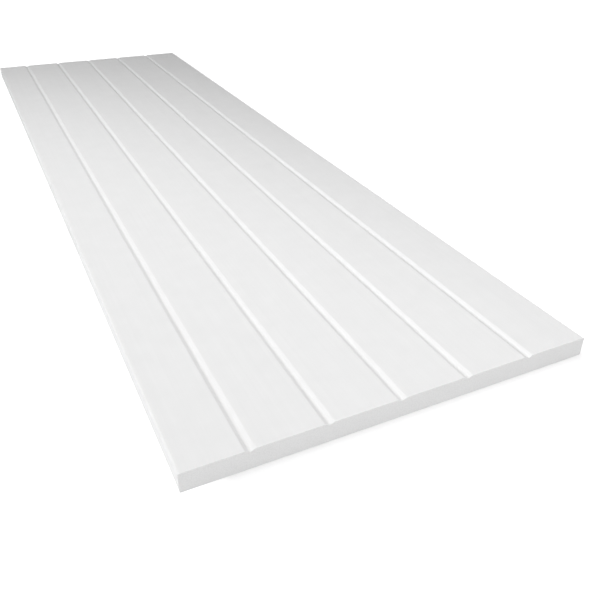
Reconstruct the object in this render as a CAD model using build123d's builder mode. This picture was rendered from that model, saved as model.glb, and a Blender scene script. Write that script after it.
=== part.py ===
"""Grooved ceiling board of extruded polystyrene foam, one piece.

The board lies on its plain back with its grooved face up. X runs across the board, Y along it and Z
through its thickness. The origin is the middle of the back face.
"""

import os

from build123d import *

# Board, millimetres
board_width = 600.0
board_length = 2000.0
board_thickness = 30.0

# Vee grooves that divide the face into planks, with the first plank along the left long edge
first_plank_width = 86.0
groove_count = 5
vee_width = 13.6
vee_depth = 3.5
root_radius = 4.5
shoulder_radius = 5.0

# Long edges, the same on both sides, so that two boards butted together show one more groove
face_edge_radius = 3.0
back_edge_radius = 2.0

# The other planks are equal, and the last one ends at the right long edge
groove_pitch = (board_width - first_plank_width) / groove_count
first_groove = first_plank_width - board_width / 2
groove_middles = [first_groove + index * groove_pitch for index in range(groove_count)]
vee_outline = [(-vee_width / 2, 0), (0, -vee_depth), (vee_width / 2, 0)]
root_height = board_thickness - vee_depth
tolerance = 0.001


def corners_at_height(section, height):
    """Return the section's corners at one height, from left to right."""
    corners = section.vertices().filter_by_position(Axis.Y, height - tolerance, height + tolerance)
    return corners.sort_by(Axis.X)


def soften_grooves(section):
    """Round the vees' roots and the shoulders where they meet the face."""
    fillet(corners_at_height(section, root_height), root_radius)
    fillet(corners_at_height(section, board_thickness)[1:-1], shoulder_radius)


def soften_long_edges(section):
    """Round both long edges, at the face and at the back."""
    face_corners = corners_at_height(section, board_thickness)
    fillet([face_corners[0], face_corners[-1]], face_edge_radius)
    fillet(corners_at_height(section, 0), back_edge_radius)


with BuildPart() as grooved_board:
    with BuildSketch(Plane.XZ) as board_section:
        Rectangle(board_width, board_thickness, align=(Align.CENTER, Align.MIN))
        with Locations(*[(middle, board_thickness) for middle in groove_middles]):
            Polygon(*vee_outline, align=None, mode=Mode.SUBTRACT)
        soften_grooves(board_section)
        soften_long_edges(board_section)
    extrude(amount=board_length / 2, both=True)

grooved_board.part.label = "grooved_board"

os.makedirs("parts", exist_ok=True)
export_step(grooved_board.part, "parts/grooved_board.step")

volume = grooved_board.part.volume
print(f"grooved_board: {len(grooved_board.part.faces())} faces, {volume / 1e9:.5f} cubic metres")
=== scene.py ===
import math

import bmesh
import bpy
from mathutils import Matrix, Vector


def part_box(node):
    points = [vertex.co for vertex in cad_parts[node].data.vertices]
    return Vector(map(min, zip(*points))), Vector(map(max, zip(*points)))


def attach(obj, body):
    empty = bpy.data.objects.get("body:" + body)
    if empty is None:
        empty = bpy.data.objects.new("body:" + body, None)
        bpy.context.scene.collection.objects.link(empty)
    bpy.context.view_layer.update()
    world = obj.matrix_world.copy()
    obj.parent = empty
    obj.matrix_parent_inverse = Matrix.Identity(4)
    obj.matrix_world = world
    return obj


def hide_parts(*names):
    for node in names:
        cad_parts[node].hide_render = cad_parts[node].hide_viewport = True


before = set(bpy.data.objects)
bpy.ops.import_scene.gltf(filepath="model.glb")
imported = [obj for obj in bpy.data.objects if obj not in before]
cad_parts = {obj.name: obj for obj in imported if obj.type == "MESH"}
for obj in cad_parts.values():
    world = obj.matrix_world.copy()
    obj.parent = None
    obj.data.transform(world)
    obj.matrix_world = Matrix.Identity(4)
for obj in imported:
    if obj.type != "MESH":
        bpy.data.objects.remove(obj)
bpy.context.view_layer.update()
boardLow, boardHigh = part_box("grooved_board")
mm = 0.001
slack = 0.02 * mm  # places closer than this count as the same


# Small helpers

def linearColour(hexColour):
    # sRGB hex to the linear numbers that the shaders want
    channels = [int(hexColour[i:i + 2], 16) / 255 for i in (1, 3, 5)]
    linear = [c / 12.92 if c <= 0.04045 else ((c + 0.055) / 1.055) ** 2.4 for c in channels]
    return (*linear, 1.0)


def addNode(tree, kind, settings=None, inputs=None):
    # an input value that is a socket is linked, anything else is set on the node
    node = tree.nodes.new(kind)
    for name, value in (settings or {}).items():
        setattr(node, name, value)
    for name, value in (inputs or {}).items():
        if isinstance(value, bpy.types.NodeSocket):
            tree.links.new(value, node.inputs[name])
        else:
            node.inputs[name].default_value = value
    return node


def newMaterial(name):
    material = bpy.data.materials.new(name)
    material.use_nodes = True
    material.node_tree.nodes.clear()
    return material, material.node_tree


def deselectAll():
    for thing in bpy.context.selected_objects:
        thing.select_set(False)


def near(a, b):
    return abs(a - b) < slack


def pickEdges(thing, test):
    # selects the edges whose two ends both pass the test
    bpy.ops.mesh.select_mode(type="EDGE")
    bpy.ops.mesh.select_all(action="DESELECT")
    mesh = bmesh.from_edit_mesh(thing.data)
    for edge in mesh.edges:
        if all(test(vert.co) for vert in edge.verts):
            edge.select_set(True)
    bmesh.update_edit_mesh(thing.data)


def sliceAt(positions, direction):
    # cuts the whole mesh across at each position along the direction
    for position in positions:
        bpy.ops.mesh.select_all(action="SELECT")
        bpy.ops.mesh.bisect(plane_co=Vector(direction) * position, plane_no=direction)


def spread(low, high, count):
    # places that divide the stretch evenly, its two ends left out
    return [low + (high - low) * i / count for i in range(1, count)]


# The board

board = {
    "firstPlank": 86 * mm,  # from the left long edge to the middle of the first groove
    "grooves": 5,
    "veeWidth": 13.6 * mm,  # before its corners are rounded
    "veeDepth": 3.5 * mm,
    "rootRadius": 4.5 * mm,
    "shoulderRadius": 5 * mm,
    "faceEdgeRadius": 3 * mm,
    "backEdgeRadius": 2 * mm,
    "endRadius": 0.6 * mm,  # the arris that the cutter leaves at the ends
    "segments": 8,  # in each rounding along the board
    "endSegments": 3,
    "smoothAngle": 40,  # degrees, an edge that turns more stays crisp
    # the finer mesh, for the waves
    "stripsPerPlank": 8,
    "stripsAlong": 48,
    "layers": 5,
    "waveLength": 90 * mm,  # the skin isn't dead flat
    "waveDepth": 0.25 * mm,
}


def roundEdges(thing, test, radius, turn):
    # a rounding of this radius reaches radius * tan(turn / 2) down each face
    pickEdges(thing, test)
    bpy.ops.mesh.bevel(offset=radius * math.tan(turn / 2), segments=board["segments"],
                       affect="EDGES", clamp_overlap=False)


def cutProfile(thing):
    width = boardHigh.x - boardLow.x
    pitch = (width - board["firstPlank"]) / board["grooves"]
    middles = [boardLow.x + board["firstPlank"] + i * pitch for i in range(board["grooves"])]
    halfVee = board["veeWidth"] / 2
    slope = math.atan2(board["veeDepth"], halfVee)
    top = boardHigh.z
    rootHeight = top - board["veeDepth"]

    # cuts for both shoulders and the root of each vee, then the roots are pressed down
    sliceAt([middle + side * halfVee for middle in middles for side in (-1, 0, 1)], (1, 0, 0))
    pickEdges(thing, lambda co: near(co.z, top) and any(near(co.x, m) for m in middles))
    bpy.ops.transform.translate(value=(0, 0, -board["veeDepth"]))

    # the roots turn by both slopes, each shoulder by one and the long edges by a right angle
    shoulders = [middle + side * halfVee for middle in middles for side in (-1, 1)]
    roundEdges(thing, lambda co: near(co.z, rootHeight), board["rootRadius"], 2 * slope)
    roundEdges(thing, lambda co: near(co.z, top) and any(near(co.x, s) for s in shoulders),
               board["shoulderRadius"], slope)
    for side in (boardLow.x, boardHigh.x):
        roundEdges(thing, lambda co: near(co.z, top) and near(co.x, side),
                   board["faceEdgeRadius"], math.pi / 2)
        roundEdges(thing, lambda co: near(co.z, boardLow.z) and near(co.x, side),
                   board["backEdgeRadius"], math.pi / 2)
    return [boardLow.x] + middles + [boardHigh.x]


def softenEnd(thing, end, inwards):
    # the end goes in by the radius and comes back out in rings, each a step round a quarter circle
    radius = board["endRadius"]
    pickEdges(thing, lambda co: near(co.y, end))
    bpy.ops.mesh.select_mode(type="FACE")
    bpy.ops.transform.translate(value=(0, inwards * radius, 0))
    step = math.pi / 2 / board["endSegments"]
    for i in range(board["endSegments"]):
        bpy.ops.mesh.inset(thickness=radius * (math.cos(step * i) - math.cos(step * (i + 1))),
                           depth=radius * (math.sin(step * (i + 1)) - math.sin(step * i)))


def waveSkin(thing):
    # shallow waves pressed into the skin, never out of it, which is what a middle level of 1 does
    waves = bpy.data.textures.new("skin waves", "CLOUDS")
    waves.noise_scale = board["waveLength"]
    waves.noise_depth = 1
    displace = thing.modifiers.new("waves", "DISPLACE")
    displace.texture = waves
    displace.texture_coords = "LOCAL"
    displace.mid_level = 1.0
    displace.strength = board["waveDepth"]
    bpy.ops.object.modifier_apply(modifier=displace.name)


def makeBoard():
    deselectAll()
    centre = (boardLow + boardHigh) / 2
    bpy.ops.mesh.primitive_cube_add(size=1, location=centre, scale=boardHigh - boardLow)
    thing = bpy.context.object
    thing.name = "foam_board"
    thing.data.name = "foam_board"
    bpy.ops.object.transform_apply(location=True, rotation=True, scale=True)
    bpy.ops.object.mode_set(mode="EDIT")

    plankLines = cutProfile(thing)
    for end, inwards in ((boardLow.y, 1), (boardHigh.y, -1)):
        softenEnd(thing, end, inwards)

    room = board["veeWidth"] / 2 + board["shoulderRadius"]  # clear of the grooves and the long edges
    for left, right in zip(plankLines, plankLines[1:]):
        sliceAt(spread(left + room, right - room, board["stripsPerPlank"]), (1, 0, 0))
    sliceAt(spread(boardLow.y, boardHigh.y, board["stripsAlong"]), (0, 1, 0))
    sliceAt(spread(boardLow.z, boardHigh.z - board["veeDepth"], board["layers"]), (0, 0, 1))
    bpy.ops.object.mode_set(mode="OBJECT")
    waveSkin(thing)

    bpy.ops.object.shade_smooth_by_angle(angle=math.radians(board["smoothAngle"]))
    flatFirst = thing.modifiers.new("flat faces first", "WEIGHTED_NORMAL")
    flatFirst.keep_sharp = True
    bpy.ops.object.modifier_apply(modifier=flatFirst.name)
    print("board modelled:", len(thing.data.polygons), "faces")
    return thing


# Materials

foam = {
    "ior": 1.35,  # solid polystyrene has 1.59, its foam less
    "seeThrough": 0.3,
    "lightDepth": 2 * mm,  # how deep light goes in among the cells, the same for each colour
}


def foamShader(tree, colour, roughness, normal):
    shader = addNode(tree, "ShaderNodeBsdfPrincipled", inputs={
        "Base Color": colour,
        "Roughness": roughness,
        "IOR": foam["ior"],
        "Subsurface Weight": foam["seeThrough"],
        "Subsurface Radius": (1.0, 1.0, 1.0),
        "Subsurface Scale": foam["lightDepth"],
        "Normal": normal,
    })
    addNode(tree, "ShaderNodeOutputMaterial", inputs={"Surface": shader.outputs["BSDF"]})


skin = {
    "colour": "#EFEFEF",
    "darkColour": "#ECECEC",  # where the skin is thinner and the cells show through
    "roughness": 0.65,
    "roughnessChange": 0.05,  # either way, from one die line to the next
    "dieLineWidth": 4 * mm,
    "dieLineLength": 500 * mm,
    "dieLineDepth": 0.05 * mm,
    "dieLineDetail": 2.0,
    "dieLineRange": (0.3, 0.7),  # the noise's levels that reach the lowest and highest roughness
    "mottleSize": 35 * mm,
    "mottleDetail": 3.0,
    "mottleRange": (0.12, 0.42),  # the levels of mottle times die lines that reach the two colours
    "grainSize": 1.6 * mm,  # the real grain is about 0.3 mm, drawn coarser so that it shows
    "grainDepth": 0.04 * mm,
    "grainDetail": 2.0,
}


def foamSkin():
    # Extruded polystyrene with the skin that it left the die with: matt white and softly see-through,
    # with faint lines along the board
    material, tree = newMaterial("extruded polystyrene skin")
    place = addNode(tree, "ShaderNodeTexCoord").outputs["Object"]
    acrossLine = 1 / skin["dieLineWidth"]
    stretched = addNode(tree, "ShaderNodeMapping", inputs={
        "Vector": place, "Scale": (acrossLine, 1 / skin["dieLineLength"], acrossLine)})
    dieLines = addNode(tree, "ShaderNodeTexNoise", inputs={
        "Vector": stretched.outputs["Vector"], "Scale": 1.0, "Detail": skin["dieLineDetail"]})
    mottle = addNode(tree, "ShaderNodeTexNoise", inputs={
        "Vector": place, "Scale": 1 / skin["mottleSize"], "Detail": skin["mottleDetail"]})
    grain = addNode(tree, "ShaderNodeTexNoise", inputs={
        "Vector": place, "Scale": 1 / skin["grainSize"], "Detail": skin["grainDetail"]})

    patches = addNode(tree, "ShaderNodeMath", {"operation": "MULTIPLY"},
                      {0: mottle.outputs["Fac"], 1: dieLines.outputs["Fac"]})
    paleness = addNode(tree, "ShaderNodeMapRange", inputs={
        "Value": patches.outputs[0],
        "From Min": skin["mottleRange"][0],
        "From Max": skin["mottleRange"][1],
        "To Min": 0.0,
        "To Max": 1.0,
    })
    colour = addNode(tree, "ShaderNodeMix", {"data_type": "RGBA"}, {
        "Factor": paleness.outputs["Result"],
        "A": linearColour(skin["darkColour"]),
        "B": linearColour(skin["colour"]),
    })
    roughness = addNode(tree, "ShaderNodeMapRange", inputs={
        "Value": dieLines.outputs["Fac"],
        "From Min": skin["dieLineRange"][0],
        "From Max": skin["dieLineRange"][1],
        "To Min": skin["roughness"] - skin["roughnessChange"],
        "To Max": skin["roughness"] + skin["roughnessChange"],
    })
    lines = addNode(tree, "ShaderNodeBump", inputs={
        "Height": dieLines.outputs["Fac"], "Strength": 1.0, "Distance": skin["dieLineDepth"]})
    fine = addNode(tree, "ShaderNodeBump", inputs={
        "Height": grain.outputs["Fac"], "Strength": 1.0, "Distance": skin["grainDepth"],
        "Normal": lines.outputs["Normal"]})
    foamShader(tree, colour.outputs["Result"], roughness.outputs["Result"], fine.outputs["Normal"])
    return material


cut = {
    "colour": "#F1F1F1",
    "cellColour": "#E6E6E6",  # the walls between opened cells, a little in their own shade
    "roughness": 0.85,
    "cellSize": 1.8 * mm,  # the real cells are about 0.3 mm, drawn coarser so that they show
    "cellDepth": 0.12 * mm,
}


def cutFoam():
    # The same foam where the ends were cut through: dead matt, with the opened cells as a fine
    # even texture
    material, tree = newMaterial("cut extruded polystyrene")
    place = addNode(tree, "ShaderNodeTexCoord").outputs["Object"]
    cells = addNode(tree, "ShaderNodeTexVoronoi", inputs={
        "Vector": place, "Scale": 1 / cut["cellSize"], "Randomness": 1.0})
    colour = addNode(tree, "ShaderNodeMix", {"data_type": "RGBA"}, {
        "Factor": cells.outputs["Distance"],
        "A": linearColour(cut["colour"]),
        "B": linearColour(cut["cellColour"]),
    })
    walls = addNode(tree, "ShaderNodeBump", inputs={
        "Height": cells.outputs["Distance"], "Strength": 1.0, "Distance": cut["cellDepth"]})
    foamShader(tree, colour.outputs["Result"], cut["roughness"], walls.outputs["Normal"])
    return material


def finishBoard(thing):
    thing.data.materials.append(foamSkin())
    thing.data.materials.append(cutFoam())
    cutSlot = 1
    endDepth = board["endRadius"] + board["waveDepth"]
    for face in thing.data.polygons:
        if abs(face.center.y) > boardHigh.y - endDepth:
            face.material_index = cutSlot
    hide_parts("grooved_board")
    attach(thing, "root")
    print("board finished")


# Floor and light

studio = {
    "floorSize": 60.0,
    "floorColour": "#E8E8E8",
    # how far the floor is lifted towards white against the board, around it and farther away; the lower
    # lift against the board and around it paints shade on the floor there, on top of the real shadow
    "contactShadeGlow": 0.15,
    "shadowGlow": 0.26,
    "farGlow": 0.92,
    "contactReach": 0.008,  # metres from the first to the second
    "glowReach": 0.06,  # and from the second to the third
    # how far the second goes past each side of the board before it turns into the third,
    # and less than nothing on the left and right, where it would show as a band
    "shadowRoom": {"left": -0.06, "near": 0.3, "right": -0.01, "far": 0.06},
    "skyColour": "#FFFFFF",
    "skyLevel": 0.24,
    "backdropLevel": 1.03,  # white, with a little to spare, so that no grey speck is left in it
    "softboxes": {
        # the main light, which leaves one side of each groove in shade
        "left softbox": {
            "size": (4.4, 1.6), "place": (-1.96, -1.6, 1.6), "target": (0, -1.6, 0), "watts": 51.4},
        # along the planks, to even them out
        "overhead strip": {
            "size": (0.5, 3.2), "place": (0.11, -0.61, 0.91), "target": (0.09, -0.56, 0), "watts": 8.0},
        # on the near end
        "front softbox": {
            "size": (1.6, 0.6), "place": (-0.3, -2.43, 0.6), "target": (0.1, -1.0, 0), "watts": 4.1},
    },
}


def backgroundRays(tree):
    # 1 for what the camera sees straight, in a gloss or through something clear
    path = addNode(tree, "ShaderNodeLightPath")
    first = addNode(tree, "ShaderNodeMath", {"operation": "MAXIMUM"},
                    {0: path.outputs["Is Camera Ray"], 1: path.outputs["Is Glossy Ray"]})
    both = addNode(tree, "ShaderNodeMath", {"operation": "MAXIMUM"},
                   {0: first.outputs[0], 1: path.outputs["Is Transmission Ray"]})
    return both.outputs[0]


def pastBox(tree, place, low, high):
    # how far a point of the floor lies outside a box, below zero inside it
    fromMiddle = addNode(tree, "ShaderNodeVectorMath", {"operation": "SUBTRACT"},
                         {0: place, 1: (low + high) / 2})
    eitherSide = addNode(tree, "ShaderNodeVectorMath", {"operation": "ABSOLUTE"},
                         {0: fromMiddle.outputs[0]})
    past = addNode(tree, "ShaderNodeVectorMath", {"operation": "SUBTRACT"},
                   {0: eitherSide.outputs[0], 1: (high - low) / 2})
    ways = addNode(tree, "ShaderNodeSeparateXYZ", inputs={"Vector": past.outputs[0]})
    farther = addNode(tree, "ShaderNodeMath", {"operation": "MAXIMUM"},
                      {0: ways.outputs["X"], 1: ways.outputs["Y"]})
    return farther.outputs[0]


def floorGlow(tree):
    # the floor's own light for the camera, least against the board: there the real shadow shows, and the
    # lower lift also paints shade, a darker fringe right along the board and a grey band around it where
    # the floor is dimly lit
    place = addNode(tree, "ShaderNodeTexCoord").outputs["Object"]
    room = studio["shadowRoom"]
    roomLow = boardLow - Vector((room["left"], room["near"], 0))
    roomHigh = boardHigh + Vector((room["right"], room["far"], 0))
    # painted contact shade: right against the board the floor is lifted less, so a darker fringe runs
    # along it
    paintedContactShade = addNode(tree, "ShaderNodeMapRange", inputs={
        "Value": pastBox(tree, place, boardLow, boardHigh),
        "From Min": 0.0,
        "From Max": studio["contactReach"],
        "To Min": studio["contactShadeGlow"],
        "To Max": studio["shadowGlow"],
    })
    strength = addNode(tree, "ShaderNodeMapRange", inputs={
        "Value": pastBox(tree, place, roomLow, roomHigh),
        "From Min": 0.0,
        "From Max": studio["glowReach"],
        "To Min": paintedContactShade.outputs["Result"],
        "To Max": studio["farGlow"],
    })
    return addNode(tree, "ShaderNodeEmission", inputs={"Strength": strength.outputs["Result"]})


def makeFloor():
    deselectAll()
    bpy.ops.mesh.primitive_plane_add(size=studio["floorSize"], location=(0, 0, boardLow.z))
    floor = bpy.context.object
    floor.name = "studio_floor"
    bpy.ops.object.transform_apply(location=True, rotation=True, scale=True)
    material, tree = newMaterial("seamless paper floor")
    paper = addNode(tree, "ShaderNodeBsdfDiffuse", inputs={"Color": linearColour(studio["floorColour"])})
    glow = floorGlow(tree)
    lifted = addNode(tree, "ShaderNodeAddShader", inputs={0: paper.outputs[0], 1: glow.outputs[0]})
    mixed = addNode(tree, "ShaderNodeMixShader",
                    inputs={0: backgroundRays(tree), 1: paper.outputs[0], 2: lifted.outputs[0]})
    addNode(tree, "ShaderNodeOutputMaterial", inputs={"Surface": mixed.outputs[0]})
    floor.data.materials.append(material)
    print("floor laid")


def makeWorld():
    world = bpy.data.worlds.new("studio")
    world.use_nodes = True
    tree = world.node_tree
    tree.nodes.clear()
    colour = linearColour(studio["skyColour"])
    backdrop = addNode(tree, "ShaderNodeBackground", inputs={
        "Strength": studio["backdropLevel"], "Color": colour})
    sky = addNode(tree, "ShaderNodeBackground", inputs={
        "Strength": studio["skyLevel"], "Color": colour})
    mixed = addNode(tree, "ShaderNodeMixShader",
                    inputs={0: backgroundRays(tree), 1: sky.outputs[0], 2: backdrop.outputs[0]})
    addNode(tree, "ShaderNodeOutputWorld", inputs={"Surface": mixed.outputs[0]})
    bpy.context.scene.world = world


def addSoftbox(name, box):
    data = bpy.data.lights.new(name, "AREA")
    data.shape = "RECTANGLE"
    data.size, data.size_y = box["size"]
    data.energy = box["watts"]
    lamp = bpy.data.objects.new(name, data)
    lamp.location = box["place"]
    facing = Vector(box["target"]) - Vector(box["place"])
    lamp.rotation_euler = facing.to_track_quat("-Z", "Y").to_euler()
    bpy.context.scene.collection.objects.link(lamp)


view = {
    "place": (-0.4078, -1.5107, 0.5763),
    "sensor": 36,  # mm wide
    "lens": 39.78,  # mm
    "down": 32.36,  # degrees below level
    "turn": 26.43,  # degrees to the right of the board's length
    "lean": 0.77,  # degrees to the left about the lens
}


def makeCamera():
    data = bpy.data.cameras.new("camera")
    data.sensor_width = view["sensor"]
    data.lens = view["lens"]
    camera = bpy.data.objects.new("camera", data)
    camera.location = view["place"]
    # an unturned camera looks straight down, so it is raised from there
    turn = Matrix.Rotation(math.radians(-view["turn"]), 3, "Z")
    raised = Matrix.Rotation(math.radians(90 - view["down"]), 3, "X")
    lean = Matrix.Rotation(math.radians(view["lean"]), 3, "Z")
    camera.rotation_euler = (turn @ raised @ lean).to_euler()
    bpy.context.scene.collection.objects.link(camera)
    bpy.context.scene.camera = camera
    print("camera placed")


makeCamera()
finishBoard(makeBoard())
makeFloor()
makeWorld()
for name, box in studio["softboxes"].items():
    addSoftbox(name, box)
bpy.context.scene.view_settings.view_transform = "Standard"
print("studio ready")
